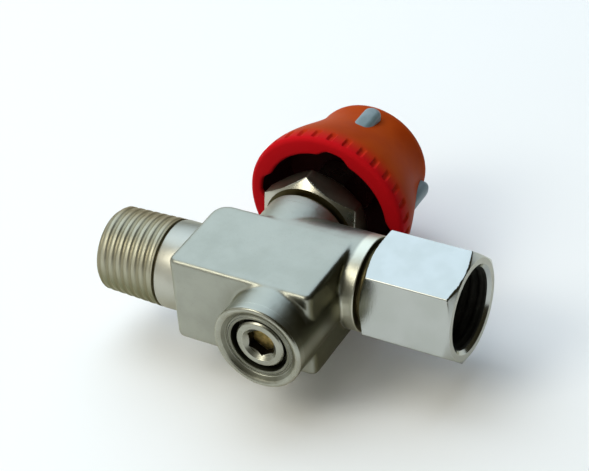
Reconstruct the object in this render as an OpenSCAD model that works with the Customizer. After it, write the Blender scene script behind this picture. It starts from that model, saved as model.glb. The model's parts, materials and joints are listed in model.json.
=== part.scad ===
// Small shut-off valve: pipe thread in, swivel nut out, bleed screw in front, rising spindle
// with a bell-shaped handwheel behind.
// +X runs from the inlet thread to the swivel nut, +Y to the handwheel, +Z up.
// The origin is the centre of the inlet thread's end face.

/* [Inlet thread] */
// Length of the taper pipe thread
inlet_len = 9.9; // [9:0.1:11]
// Diameter over the crests at the small end
inlet_d = 12.8; // [12.6:0.1:13]
// Thread pitch, 19 turns to the inch
thread_pitch = 1.337; // [1.2:0.001:1.5]
// Bore of the inlet passage
inlet_bore_d = 5; // [4:0.5:5]

/* [Body] */
// Where the square body starts, measured from the inlet end
body_x = 13.8; // [13.4:0.1:14]
// Length of the square body
body_len = 23.6; // [23:0.1:25]
// Depth of the square body, front to back
body_w = 15.1; // [14.8:0.1:15.4]
// Height of the square body
body_h = 14.4; // [14.2:0.1:14.8]
// Radius of the forged edges
edge_r = 0.9; // [0.6:0.1:1.4]

/* [Outlet] */
// How far the outlet axis lies behind the inlet axis
outlet_y = 7.4; // [7:0.1:8]
// Diameter of the outlet arm
arm_d = 14; // [13.6:0.1:14]
// Width across the flats of the swivel nut
nut_af = 15.5; // [15.3:0.1:17]
// Length of the swivel nut
nut_len = 14.1; // [13:0.1:16]
// Wall diameter of the nut's threaded hole
nut_hole_d = 11.5; // [11.4:0.05:11.9]

/* [Spindle] */
// Where the spindle axis crosses the inlet axis
stem_x = 24.5; // [24:0.1:25]
// Diameter of the round boss that takes the bonnet
rear_boss_d = 14.1; // [14:0.1:14.2]
// How far that boss reaches behind the inlet axis
rear_boss_y = 14.4; // [14.4:0.1:14.8]
// Width across the flats of the bonnet
bonnet_af = 15.4; // [15:0.1:16]
// How far the spindle rises from shut to fully open
spindle_stroke = 3; // [2:0.5:3]

/* [Handwheel] */
// Where the open rim of the handwheel lies at rest
wheel_y = 20; // [19.8:0.1:20.5]
// Length of the handwheel
wheel_len = 17.7; // [17.7:0.1:18.4]
// Diameter at the rim
wheel_d = 26.1; // [26:0.1:27]
// Diameter of the neck
wheel_neck_d = 18.7; // [18.4:0.1:19]
// Notches round the rim
grip_notches = 32; // [16:4:40]
// Raised grey ribs round the neck
grip_ribs = 4; // [3:1:4]
// Angle of the first rib above the horizontal
rib_angle = 79; // [0:1:90]

/* [Bleed screw] */
// Where the bleed axis crosses the inlet axis
boss_x = 30.7; // [30:0.1:31]
// How far the front boss reaches in front of the inlet axis
boss_y = 12.4; // [12:0.1:13]
// Diameter of the front boss
boss_d = 13.8; // [13.6:0.1:14]
// Diameter of the bleed screw's head
bleed_head_d = 7.7; // [7.4:0.1:8]
// Width across the flats of its hexagon socket
bleed_socket_af = 4; // [3:0.5:4]

/* [Hidden] */
$fn = 96;
e = 0.01;                                   // how far a cut runs past a face
plated = [0.72, 0.74, 0.70];
bright_plated = [0.80, 0.84, 0.86];
brass = [0.78, 0.62, 0.30];
steel = [0.66, 0.67, 0.68];
red = [0.78, 0.12, 0.07];
grey = [0.45, 0.52, 0.54];
white = [0.90, 0.90, 0.86];

// Inlet thread
taper = 1 / 32;                             // radius gained per length, a taper of 1 in 16
thread_h = 0.64 * thread_pitch;             // depth of a turn
crest_w = 0.17 * thread_pitch;              // flat on each crest
thread_turns = floor(inlet_len / thread_pitch);
collar_d = 13.45;
relief_d = 12.5;
relief_w = 0.4;

// Body and outlet
body_mid = [body_x + body_len / 2, 0.2, -0.1];
arm_y = 7.3;                                // the forged arm lies a little off the outlet axis
arm_z = -0.15;
arm_end = 39.5;
spigot_d = 12.4;
spigot_end = 40.4;
nipple_start = 35.6;
nipple_d = 9;
nipple_bore_d = 5;
outlet_bore_d = 4;
nut_x = 40.6;
nut_web = 2.8;                              // wall at the back of the nut
flange_x = nut_x + nut_web + 0.2;
flange_d = nut_hole_d - 0.6;
flange_w = 1.6;
gasket_w = 1.5;
nut_relief_d = nut_hole_d + 0.8;            // clear of the flange and the gasket
nut_chamfer_d = nut_af - 0.3;               // where the end chamfers meet the end faces
nut_turn = 46;                              // how the loose nut happens to lie
nut_mouth_w = 0.9;

// Seat, bonnet and packing, all along +Y from the inlet axis
seat_y = 4.8;
seat_bore_d = 4;
seat_insert_d = 7;
chamber_d = 8.4;
bonnet_y = 10.3;
bonnet_seal_w = 0.5;
bonnet_thread_d = 11;
bonnet_gap = 0.1;
bonnet_collar_d = 12.2;
bonnet_collar_w = 0.7;
bonnet_hex_y = rear_boss_y + bonnet_gap + bonnet_collar_w;
bonnet_hex_len = 4.1;
bonnet_chamfer_d = 14.8;
bonnet_neck_d = 7.6;
bonnet_end = 24.6;
packing_y = 20;
packing_d = 5.8;
thread_fit = 0.05;                          // radial clearance of the running threads
stem_fit = 0.06;                            // radial clearance of the stem in its packing
washer_w = 0.5;
packing_w = 1.5;
gland_af = 9;
gland_y = 21.4;
gland_end = 27;
gland_cap = 1.4;

// Spindle
spindle_thread_d = 6;
shoulder_y = packing_y - 1 - spindle_stroke - 0.1;
stem_d = 3.5;
square_y = 28;
square_af = 2.4;
square_end = 33.5;
cone_top = 8;
cone_shank_d = 1.8;
cone_bulb_d = 2.3;

// Handwheel
wheel_end = wheel_y + wheel_len;
bell_y0 = 21;                               // the bell starts to narrow here
bell_y1 = 35.4;                             // and has its neck diameter here
wheel_wall = 2;
wheel_back_r = 2.6;
rim_bore_d = 20.2;
rim_slot_d = 22;                            // slots that the core's ribs pass through
rim_slot_w = 4;
rim_slot_len = 3;
grip_turn = 6.4;                            // angle of the first notch above the horizontal
hollow_end = 27.6;
core_y = 30.2;
core_d = 14.4;
core_len = 6.4;
screw_pocket_d = 8;
screw_pocket_y = square_end;
cap_y = core_y + core_len;
cap_d = 13;
rib_d = 21.9;
rib_w = 2.8;
rib_y = 28.5;
rib_end = 34.4;
rib_round = 1.3;

// Bleed screw, measured in front of the inlet axis
recess_d = 10.6;
recess_mouth_d = 12.2;
recess_mouth_w = 0.65;
insert_top = 11.75;
insert_floor = 9.2;
insert_end = 4.2;
insert_cup_d = 9.1;
bleed_top = 11.6;
bleed_head_w = 2;
bleed_thread_d = 6;
bleed_tip = 6.4;
ball_d = 2.8;
ball_y = 5.62;
ball_seat_angle = 34;                       // half the angle of the ball's conical seat
ball_seat_gap = 0.03;
bleed_seat_d = 2;
socket_depth = 2;

function smooth(t) = let(s = max(0, min(1, t))) s * s * (3 - 2 * s);
function bell_r(y) = (wheel_d + (wheel_neck_d - wheel_d) * smooth((y - bell_y0) / (bell_y1 - bell_y0))) / 2;
function ball_seat_y(r) =
    (ball_d / 2 + ball_seat_gap - r * cos(ball_seat_angle)) / sin(ball_seat_angle) - ball_y;
function arc(x, y, r, from, to, steps) =
    [for (i = [0:steps]) let(a = from + (to - from) * i / steps) [x + r * cos(a), y + r * sin(a)]];

// Turns a flat outline, radius by length, about an axis that runs along +X.
module turn_x(x, y = 0) {
    translate([x, y, 0]) rotate([0, 90, 0]) rotate_extrude() children();
}

// The same about an axis that runs along +Y through x.
module turn_y(x) {
    translate([x, 0, 0]) rotate([-90, 0, 0]) rotate_extrude() children();
}

module rod_x(d, from, to, y = 0) {
    translate([from, y, 0]) rotate([0, 90, 0]) cylinder(d = d, h = to - from);
}

module rod_y(x, d, from, to) {
    translate([x, from, 0]) rotate([-90, 0, 0]) cylinder(d = d, h = to - from);
}

module ring_y(x, d, hole, from, to) {
    difference() {
        rod_y(x, d, from, to);
        rod_y(x, hole, from - e, to + e);
    }
}

// A rectangle about the origin with round corners.
module round_rect(a, b, r) {
    square([a - 2 * r, b], center = true);
    square([a, b - 2 * r], center = true);
    for (i = [-1, 1], j = [-1, 1]) translate([i * (a / 2 - r), j * (b / 2 - r)]) circle(r = r);
}

// A hexagon prism along +Z with both ends turned down to chamfer_d.
module hex_bar(af, h, chamfer_d, slope = 30) {
    corner_d = af / cos(30);
    drop = (corner_d - chamfer_d) / 2 * tan(slope);
    intersection() {
        cylinder(d = corner_d, h = h, $fn = 6);
        rotate_extrude()
            polygon([[0, 0], [chamfer_d / 2, 0], [corner_d / 2 + e, drop], [corner_d / 2 + e, h - drop],
                     [chamfer_d / 2, h], [0, h]]);
    }
}

module forged_block() {
    translate(body_mid) intersection() {
        translate([0, 0, -body_h / 2]) linear_extrude(body_h) round_rect(body_len, body_w, edge_r);
        translate([0, body_w / 2, 0]) rotate([90, 0, 0]) linear_extrude(body_w)
            round_rect(body_len, body_h, edge_r);
        translate([-body_len / 2, 0, 0]) rotate([90, 0, 90]) linear_extrude(body_len)
            round_rect(body_w, body_h, edge_r);
    }
}

// The inlet's outline: chamfer, tapering turns, relief groove and collar.
module inlet_outline() {
    crest = [for (i = [0:thread_turns]) inlet_d / 2 + taper * i * thread_pitch];
    half = (thread_pitch - crest_w) / 2;
    turns = [for (i = [0:thread_turns - 1])
        let(start = (i + 0.5) * thread_pitch, r = crest[i])
        each [[r, start - crest_w / 2], [r, start + crest_w / 2], [r - thread_h, start + thread_pitch / 2]]];
    polygon(concat([[0, 0], [inlet_d / 2 - thread_h, 0]], turns,
        [[relief_d / 2, inlet_len], [relief_d / 2, inlet_len + relief_w],
         [collar_d / 2 - 0.2, inlet_len + relief_w], [collar_d / 2, inlet_len + relief_w + 0.2],
         [collar_d / 2, body_x + edge_r], [0, body_x + edge_r]]));
}

module front_boss() {
    rim = 0.35;
    turn_y(boss_x) polygon([[0, -boss_y], [boss_d / 2 - rim, -boss_y], [boss_d / 2, -boss_y + rim],
        [boss_d / 2, 0], [0, 0]]);
}

module rear_boss() {
    rim = 1;
    turn_y(stem_x) polygon([[0, 0], [rear_boss_d / 2, 0], [rear_boss_d / 2, rear_boss_y - rim],
        [rear_boss_d / 2 - rim, rear_boss_y], [0, rear_boss_y]]);
}

module valve_body() {
    color(plated) difference() {
        union() {
            forged_block();
            turn_x(0) inlet_outline();
            translate([0, 0, arm_z]) rod_x(arm_d, stem_x, arm_end, arm_y);
            rod_x(spigot_d, stem_x, spigot_end, outlet_y);
            rear_boss();
            front_boss();
        }
        rod_x(inlet_bore_d, -e, stem_x + seat_bore_d / 2);
        rod_y(stem_x, seat_bore_d, 0, seat_y);
        rod_y(stem_x, seat_insert_d, seat_y - 1.6, seat_y);
        rod_y(stem_x, chamber_d, seat_y, bonnet_y);
        rod_y(stem_x, bonnet_thread_d, bonnet_y - bonnet_seal_w, rear_boss_y + e);
        rod_x(outlet_bore_d, stem_x, nipple_start + e, outlet_y);
        rod_x(nipple_d, nipple_start, spigot_end + e, outlet_y);
        rod_y(boss_x, bleed_seat_d, -insert_end - e, outlet_y);
        rod_y(boss_x, recess_d, -boss_y - e, -insert_end);
        turn_y(boss_x) polygon([[0, -boss_y - e], [recess_mouth_d / 2, -boss_y - e],
            [recess_d / 2, -boss_y + recess_mouth_w], [0, -boss_y + recess_mouth_w]]);
    }
}

module seat_insert() {
    color(steel) ring_y(stem_x, seat_insert_d, seat_bore_d, seat_y - 1.6, seat_y);
}

module bonnet_seal() {
    color(brass) ring_y(stem_x, bonnet_thread_d - 0.2, chamber_d, bonnet_y - bonnet_seal_w, bonnet_y);
}

module bonnet() {
    color(bright_plated) difference() {
        union() {
            rod_y(stem_x, bonnet_thread_d, bonnet_y, bonnet_hex_y + e);
            rod_y(stem_x, bonnet_collar_d, rear_boss_y + bonnet_gap, bonnet_hex_y + e);
            translate([stem_x, bonnet_hex_y, 0]) rotate([-90, 0, 0]) rotate([0, 0, 30])
                hex_bar(bonnet_af, bonnet_hex_len, bonnet_chamfer_d, 45);
            rod_y(stem_x, bonnet_neck_d, bonnet_hex_y, bonnet_end);
        }
        rod_y(stem_x, spindle_thread_d + 2 * thread_fit, bonnet_y - e, packing_y - 1);
        rod_y(stem_x, stem_d + 2 * stem_fit, bonnet_y, bonnet_end + e);
        rod_y(stem_x, packing_d, packing_y, bonnet_end + e);
    }
}

module packing_ring(from, w) {
    ring_y(stem_x, packing_d, stem_d + 2 * stem_fit, from, from + w);
}

module backing_washer() {
    color(steel) packing_ring(packing_y, washer_w);
}

module packing_lower() {
    color(white) packing_ring(packing_y + washer_w, packing_w);
}

module packing_upper() {
    color(white) packing_ring(packing_y + washer_w + packing_w, packing_w);
}

module gland_ring() {
    color(brass) packing_ring(packing_y + washer_w + 2 * packing_w, gland_end - gland_cap - packing_y
        - washer_w - 2 * packing_w);
}

module gland_nut() {
    color(bright_plated) difference() {
        translate([stem_x, gland_y, 0]) rotate([-90, 0, 0])
            hex_bar(gland_af, gland_end - gland_y, gland_af - 0.2);
        rod_y(stem_x, bonnet_neck_d, gland_y - e, bonnet_end);
        rod_y(stem_x, packing_d, bonnet_end - e, gland_end - gland_cap);
        rod_y(stem_x, stem_d + 2 * stem_fit, gland_y, gland_end + e);
    }
}

module valve_cone() {
    nose_r = 1.2;
    slope = seat_bore_d / 2 - nose_r;
    gap = 0.03;                             // cone and seat just part at rest
    turn = seat_y + gap;
    color(steel) turn_y(stem_x) polygon([[0, turn - slope], [nose_r, turn - slope],
        [seat_bore_d / 2 + 0.6, turn + 0.6], [seat_bore_d / 2 + 0.6, cone_top], [cone_shank_d / 2, cone_top],
        [cone_shank_d / 2, cone_top + 1.4], [cone_bulb_d / 2, cone_top + 1.7],
        [cone_bulb_d / 2, cone_top + 2.4], [0, cone_top + 2.4]]);
}

module spindle() {
    fit = 0.08;
    color(steel) difference() {
        union() {
            rod_y(stem_x, spindle_thread_d, cone_top + fit, shoulder_y);
            rod_y(stem_x, stem_d, cone_top + fit, square_y);
            translate([stem_x, square_y - e, 0]) rotate([-90, 0, 0])
                translate([0, 0, (square_end - square_y + e) / 2])
                    cube([square_af, square_af, square_end - square_y + e], center = true);
        }
        rod_y(stem_x, cone_shank_d + 2 * fit, cone_top, cone_top + 2);
        rod_y(stem_x, cone_bulb_d + 2 * fit, cone_top + 1.4 - fit, cone_top + 2.4 + fit);
        rod_y(stem_x, 1.6, square_end - 5, square_end + e);
    }
}

// One rib seen from the side: radius by length.
module rib_outline() {
    hub_r = core_d / 2 - 0.5;
    tip_r = rib_d / 2;
    finger = 1.8;
    polygon(concat([[hub_r, core_y], [tip_r - finger, core_y], [tip_r - finger, rib_y]],
        arc(tip_r - 0.5, rib_y + 0.5, 0.5, -90, 0, 4),
        arc(tip_r - rib_round, rib_end - rib_round, rib_round, 0, 90, 6), [[hub_r, rib_end]]));
}

module ribs() {
    for (i = [0:grip_ribs - 1])
        translate([stem_x, 0, 0]) rotate([0, -rib_angle - i * 360 / grip_ribs, 0])
            translate([0, 0, -rib_w / 2]) linear_extrude(rib_w) rib_outline();
}

module handwheel() {
    outside = concat([[rim_bore_d / 2, wheel_y]], [[wheel_d / 2 - 0.8, wheel_y]],
        arc(wheel_d / 2 - 0.8, wheel_y + 0.8, 0.8, -60, 0, 3),
        [for (y = [bell_y0 + 1:1:bell_y1]) [bell_r(y), y]],
        arc(wheel_neck_d / 2 - wheel_back_r, wheel_end - wheel_back_r, wheel_back_r, 0, 90, 6));
    inside = [[cap_d / 2, wheel_end], [cap_d / 2, cap_y], [core_d / 2, cap_y], [core_d / 2, core_y],
        [screw_pocket_d / 2, core_y], [screw_pocket_d / 2, hollow_end],
        [bell_r(hollow_end) - wheel_wall, hollow_end]];
    color(red) difference() {
        turn_y(stem_x) polygon(concat(outside, inside));
        ribs();
        for (i = [0:grip_ribs - 1])
            translate([stem_x, wheel_y - e, 0]) rotate([0, -rib_angle - i * 360 / grip_ribs, 0])
                translate([0, 0, -rim_slot_w / 2]) cube([rim_slot_d / 2, rim_slot_len + e, rim_slot_w]);
        for (i = [0:grip_notches - 1])
            translate([stem_x, 0, 0]) rotate([0, -grip_turn - i * 360 / grip_notches, 0])
                rod_y(wheel_d / 2 + 0.45, 1.6, wheel_y + 0.7, wheel_y + 2.9);
    }
}

module handwheel_core() {
    hub_gap = 0.4;
    color(grey) difference() {
        union() {
            rod_y(stem_x, core_d, core_y, cap_y);
            rod_y(stem_x, screw_pocket_d, square_y + hub_gap, core_y + e);
            ribs();
        }
        translate([stem_x, wheel_y, 0]) rotate([-90, 0, 0]) translate([0, 0, wheel_len / 2])
            cube([square_af, square_af, wheel_len], center = true);
        rod_y(stem_x, screw_pocket_d, screw_pocket_y, cap_y + e);
    }
}

module handwheel_washer() {
    color(steel) ring_y(stem_x, 7, 3.2, square_end, square_end + 0.5);
}

module handwheel_screw() {
    head_y = square_end + 0.5;
    head_w = 1.8;
    color(steel) difference() {
        union() {
            rod_y(stem_x, 1.6, square_end - 4.5, head_y + e);
            rod_y(stem_x, 5.4, head_y, head_y + head_w);
        }
        translate([stem_x, head_y + 0.8, 0]) rotate([-90, 0, 0]) cylinder(d = 2.6, h = 2, $fn = 6);
    }
}

module handwheel_cap() {
    color(red) turn_y(stem_x) polygon([[0, cap_y], [cap_d / 2, cap_y], [cap_d / 2, wheel_end - 0.5],
        [cap_d / 2 - 0.3, wheel_end - 0.2], [0, wheel_end - 0.2]]);
}

module outlet_nipple() {
    color(plated) turn_x(nipple_start, outlet_y) polygon([[nipple_bore_d / 2, 0], [nipple_d / 2, 0],
        [nipple_d / 2, flange_x - nipple_start], [flange_d / 2, flange_x - nipple_start],
        [flange_d / 2, flange_x - nipple_start + flange_w],
        [nipple_bore_d / 2, flange_x - nipple_start + flange_w]]);
}

module outlet_gasket() {
    color(white) turn_x(flange_x + flange_w, outlet_y) polygon([[nipple_bore_d / 2 + 0.3, 0],
        [flange_d / 2, 0], [flange_d / 2, gasket_w], [nipple_bore_d / 2 + 0.3, gasket_w]]);
}

module union_nut() {
    mouth_d = nut_hole_d + 1.8;
    color(bright_plated) difference() {
        translate([nut_x, outlet_y, 0]) rotate([0, 90, 0]) rotate([0, 0, nut_turn])
            hex_bar(nut_af, nut_len, nut_chamfer_d);
        rod_x(nut_hole_d, nut_x + nut_web, nut_x + nut_len + e, outlet_y);
        rod_x(nut_relief_d, nut_x + nut_web, flange_x + flange_w + gasket_w + 0.2, outlet_y);
        rod_x(nipple_d + 0.6, nut_x - e, nut_x + nut_len, outlet_y);
        turn_x(nut_x + nut_len - nut_mouth_w, outlet_y) polygon([[0, 0], [nut_hole_d / 2, 0],
            [mouth_d / 2, nut_mouth_w + e], [0, nut_mouth_w + e]]);
    }
}

module bleed_insert() {
    ball_bore_r = ball_d / 2 + 0.1;
    color(plated) turn_y(boss_x) polygon([[recess_d / 2, -insert_end], [recess_d / 2, -insert_top],
        [insert_cup_d / 2, -insert_top], [insert_cup_d / 2, -insert_floor],
        [bleed_thread_d / 2 + thread_fit, -insert_floor], [bleed_thread_d / 2 + thread_fit, -bleed_tip + 0.3],
        [ball_bore_r, -bleed_tip + 0.6], [ball_bore_r, ball_seat_y(ball_bore_r)],
        [bleed_seat_d / 2, ball_seat_y(bleed_seat_d / 2)], [bleed_seat_d / 2, -insert_end]]);
}

module bleed_screw() {
    head_r = bleed_head_d / 2;
    ball_fit = 0.06;
    mouth_r = 2.75;
    color(plated) difference() {
        turn_y(boss_x) polygon([[0, -bleed_top], [head_r - 0.25, -bleed_top], [head_r, -bleed_top + 0.25],
            [head_r, -bleed_top + bleed_head_w], [bleed_thread_d / 2, -bleed_top + bleed_head_w],
            [bleed_thread_d / 2, -bleed_tip], [0, -bleed_tip]]);
        ring_y(boss_x, bleed_thread_d + 1, bleed_thread_d - 1.2, -8.6, -7.6);
        translate([boss_x, -ball_y, 0]) sphere(r = ball_d / 2 + ball_fit);
        translate([boss_x, -bleed_top - e, 0]) rotate([-90, 0, 0]) rotate([0, 0, 30])
            cylinder(d = bleed_socket_af / cos(30), h = socket_depth, $fn = 6);
        turn_y(boss_x) polygon([[0, -bleed_top - e], [mouth_r, -bleed_top - e], [1.9, -bleed_top + 0.6],
            [0, -bleed_top + 0.6]]);
    }
}

module bleed_seal() {
    color([0.1, 0.1, 0.1]) ring_y(boss_x, bleed_thread_d + 0.02, bleed_thread_d - 1.2, -8.5, -7.7);
}

module bleed_ball() {
    color(steel) translate([boss_x, -ball_y, 0]) sphere(d = ball_d);
}

valve_body();
seat_insert();
bonnet();
bonnet_seal();
backing_washer();
packing_lower();
packing_upper();
gland_ring();
gland_nut();
outlet_nipple();
outlet_gasket();
bleed_insert();
valve_cone();
spindle();
handwheel();
handwheel_core();
handwheel_washer();
handwheel_screw();
handwheel_cap();
union_nut();
bleed_ball();
bleed_screw();
bleed_seal();
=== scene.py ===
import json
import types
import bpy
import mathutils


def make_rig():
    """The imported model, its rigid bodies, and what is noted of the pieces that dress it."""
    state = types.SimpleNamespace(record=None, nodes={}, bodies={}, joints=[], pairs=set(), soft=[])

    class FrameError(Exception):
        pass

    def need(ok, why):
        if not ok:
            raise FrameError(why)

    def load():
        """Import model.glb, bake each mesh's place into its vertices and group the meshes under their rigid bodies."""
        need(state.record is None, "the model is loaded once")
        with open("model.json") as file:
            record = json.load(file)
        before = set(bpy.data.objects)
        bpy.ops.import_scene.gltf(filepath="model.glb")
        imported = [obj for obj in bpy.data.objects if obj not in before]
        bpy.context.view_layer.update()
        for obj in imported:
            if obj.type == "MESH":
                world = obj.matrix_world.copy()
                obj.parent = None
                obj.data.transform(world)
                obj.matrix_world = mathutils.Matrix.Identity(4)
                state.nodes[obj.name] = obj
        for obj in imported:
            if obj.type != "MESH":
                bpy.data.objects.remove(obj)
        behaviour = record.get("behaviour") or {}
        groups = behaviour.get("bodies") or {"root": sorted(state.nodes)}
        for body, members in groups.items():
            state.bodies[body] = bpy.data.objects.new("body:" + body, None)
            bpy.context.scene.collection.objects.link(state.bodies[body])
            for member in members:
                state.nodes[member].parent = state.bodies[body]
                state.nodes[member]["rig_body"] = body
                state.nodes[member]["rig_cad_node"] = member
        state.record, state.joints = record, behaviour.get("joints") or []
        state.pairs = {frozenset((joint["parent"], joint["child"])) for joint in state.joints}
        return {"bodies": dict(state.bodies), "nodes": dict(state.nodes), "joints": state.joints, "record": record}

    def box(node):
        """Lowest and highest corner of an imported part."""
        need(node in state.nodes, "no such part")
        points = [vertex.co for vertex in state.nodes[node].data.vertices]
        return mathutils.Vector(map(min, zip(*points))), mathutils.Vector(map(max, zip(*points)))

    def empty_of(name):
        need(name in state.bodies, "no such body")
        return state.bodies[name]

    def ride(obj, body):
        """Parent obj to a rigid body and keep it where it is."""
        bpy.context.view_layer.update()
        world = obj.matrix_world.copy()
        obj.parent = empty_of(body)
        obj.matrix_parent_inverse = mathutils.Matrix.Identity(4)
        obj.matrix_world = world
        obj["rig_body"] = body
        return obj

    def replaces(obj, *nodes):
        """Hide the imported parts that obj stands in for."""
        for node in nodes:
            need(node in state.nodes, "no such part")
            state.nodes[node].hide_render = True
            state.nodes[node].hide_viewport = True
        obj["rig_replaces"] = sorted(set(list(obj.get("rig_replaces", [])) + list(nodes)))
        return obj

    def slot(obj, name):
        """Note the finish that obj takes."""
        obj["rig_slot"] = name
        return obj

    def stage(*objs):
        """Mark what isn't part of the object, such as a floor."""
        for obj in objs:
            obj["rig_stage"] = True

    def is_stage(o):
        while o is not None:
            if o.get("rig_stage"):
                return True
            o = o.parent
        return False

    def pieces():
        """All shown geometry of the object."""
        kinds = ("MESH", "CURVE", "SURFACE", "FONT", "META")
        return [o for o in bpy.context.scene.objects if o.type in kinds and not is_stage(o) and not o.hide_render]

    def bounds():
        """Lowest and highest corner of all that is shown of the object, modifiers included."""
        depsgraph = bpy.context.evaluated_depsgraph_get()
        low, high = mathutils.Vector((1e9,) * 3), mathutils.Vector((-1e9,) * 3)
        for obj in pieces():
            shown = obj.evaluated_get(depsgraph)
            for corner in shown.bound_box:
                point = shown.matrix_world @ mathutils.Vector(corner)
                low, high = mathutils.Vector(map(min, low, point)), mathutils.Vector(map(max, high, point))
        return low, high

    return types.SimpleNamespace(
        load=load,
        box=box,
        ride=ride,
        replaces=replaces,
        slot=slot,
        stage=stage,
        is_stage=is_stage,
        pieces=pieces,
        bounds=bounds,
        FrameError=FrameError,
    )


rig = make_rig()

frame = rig.load()
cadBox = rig.bounds()

import json
import math
from types import SimpleNamespace

import bmesh
import bpy
import numpy as np
from mathutils import Matrix, Vector
from mathutils.bvhtree import BVHTree

mm = 0.001
nodes = frame["nodes"]

# Where things show in the photo. The photo is 589 wide and 471 high.
imageSize = (589, 471)
imagePoints = {
    "objectLeftX": 96.9,
    "objectRightX": 492.0,
    "objectTopY": 102.3,
    "objectBottomY": 385.6,
    "inletTopCorner": (127.0, 207.3),
    "bodyCornerFrontLeft": (172.0, 261.0),
    "bodyCornerFrontRight": (306.2, 295.0),
    "bossRim": (256.5, 348.1),
    "bleedSocket": (259.3, 342.5),
    "nutFrontEdge": (365.0, 277.5),
    "nutMouth": (470.2, 308.7),
    "wheelLeft": (250.6, 184.0),
    "wheelRightX": 426.0,
    "gripNotch": (362.0, 151.6),
    "ribTop": (369.0, 118.5),
    "ribRight": (421.5, 196.0),
}


# Axes of the valve, all read from the frame

def middle(name, axis):
    low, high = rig.box(name)
    return (low[axis] + high[axis]) / 2


stemX = middle("handwheel", 0)
outletY = middle("union_nut", 1)
bleedX = middle("bleed_insert", 0)


def axisX(y, z=0.0):
    # maps radius, angle and length onto an axis that runs along +X through y, z
    return lambda r, a, s: (s, y + r * math.cos(a), z + r * math.sin(a))


def axisY(x):
    # the same for an axis that runs along +Y at x
    return lambda r, a, s: (x + r * math.cos(a), s, r * math.sin(a))


inletAxis = axisX(0)
outletAxis = axisX(outletY)
stemAxis = axisY(stemX)
bleedAxis = axisY(bleedX)

# Camera, settled from the image points

camera = {
    "azimuth": 31.598, "elevation": 36.746, "roll": -5.161, "lens": 124.43, "sensor": 36.0,
    "position": (150.9, -194.9, 182.1), "clip": (0.01, 20),
}
cameraPlace = Vector(camera["position"]) * mm
pictureScale = max(imageSize) * camera["lens"] / camera["sensor"]


def cameraAxes():
    # right, up and back of the camera in the frame
    a, e, roll = (math.radians(camera[key]) for key in ("azimuth", "elevation", "roll"))
    back = Vector((math.sin(a) * math.cos(e), -math.cos(a) * math.cos(e), math.sin(e)))
    level = Vector((math.cos(a), math.sin(a), 0))
    upright = back.cross(level)
    right = level * math.cos(roll) + upright * math.sin(roll)
    up = upright * math.cos(roll) - level * math.sin(roll)
    return right, up, back


def makeCamera():
    data = bpy.data.cameras.new("photoCamera")
    data.lens = camera["lens"]
    data.sensor_width = camera["sensor"]
    data.sensor_fit = "AUTO"
    data.clip_start, data.clip_end = camera["clip"]
    view = bpy.data.objects.new("photoCamera", data)
    view.matrix_world = Matrix.Translation(cameraPlace) @ Matrix(cameraAxes()).transposed().to_4x4()
    bpy.context.scene.collection.objects.link(view)
    bpy.context.scene.camera = view


def surfaceOf(pieces):
    # one search tree over the faces of all the pieces
    corners = []
    faces = []
    for piece in pieces:
        first = len(corners)
        corners += [v.co.copy() for v in piece.data.vertices]
        faces += [[first + i for i in p.vertices] for p in piece.data.polygons]
    return BVHTree.FromPolygons(corners, faces)


def placeOn(point, carrier):
    # where a place in the photo lies on a piece; a miss takes the place nearest the line of sight
    right, up, back = cameraAxes()
    x = point[0] - imageSize[0] / 2
    y = imageSize[1] / 2 - point[1]
    way = (right * x + up * y - back * pictureScale).normalized()
    hit = surfaceOf([carrier]).ray_cast(cameraPlace, way)[0]
    if hit is None:
        places = [v.co.copy() for v in carrier.data.vertices]
        hit = min(places, key=lambda place: (place - cameraPlace).cross(way).length)
    return hit


makeCamera()
print("camera ready")


# Mesh helpers

def hardEdges(bm, sharpAngle):
    # smooth shading, except across edges that turn more than the angle in degrees
    limit = math.radians(sharpAngle)
    for edge in bm.edges:
        edge.smooth = not (edge.is_manifold and edge.calc_face_angle(0) > limit)
    for face in bm.faces:
        face.smooth = True


def finishMesh(bm, name, sharpAngle=40, mergeWithin=0.002, tooThin=0.0005):
    # merges what lies together, turns faces outwards and keeps hard edges hard
    bmesh.ops.remove_doubles(bm, verts=bm.verts, dist=mergeWithin * mm)
    bmesh.ops.dissolve_degenerate(bm, edges=bm.edges, dist=tooThin * mm)
    bmesh.ops.recalc_face_normals(bm, faces=bm.faces)
    hardEdges(bm, sharpAngle)
    mesh = bpy.data.meshes.new(name)
    bm.to_mesh(mesh)
    bm.free()
    piece = bpy.data.objects.new(name, mesh)
    bpy.context.scene.collection.objects.link(piece)
    return piece


def cleaned(piece, sharpAngle):
    # marks the hard edges of a cut piece afresh
    bm = bmesh.new()
    bm.from_mesh(piece.data)
    hardEdges(bm, sharpAngle)
    bm.to_mesh(piece.data)
    bm.free()


def bridge(bm, ring, after):
    # faces between two closed rings with as many vertices
    for j in range(len(ring)):
        k = (j + 1) % len(ring)
        bm.faces.new((ring[j], ring[k], after[k], after[j]))


def turned(name, axis, outline, segments=160, sharpAngle=40, angles=None):
    # sweeps a closed outline once round an axis; the outline may be a function of the angle
    bm = bmesh.new()
    rings = []
    for a in angles or [2 * math.pi * i / segments for i in range(segments)]:
        shape = outline(a) if callable(outline) else outline
        rings.append([bm.verts.new(axis(max(r, 0) * mm, a, s * mm)) for r, s in shape])
    for i, ring in enumerate(rings):
        bridge(bm, ring, rings[(i + 1) % len(rings)])
    return finishMesh(bm, name, sharpAngle)


def rod(name, axis, radius, start, end, segments=96):
    return turned(name, axis, [(0, start), (radius, start), (radius, end), (0, end)], segments)


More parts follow.
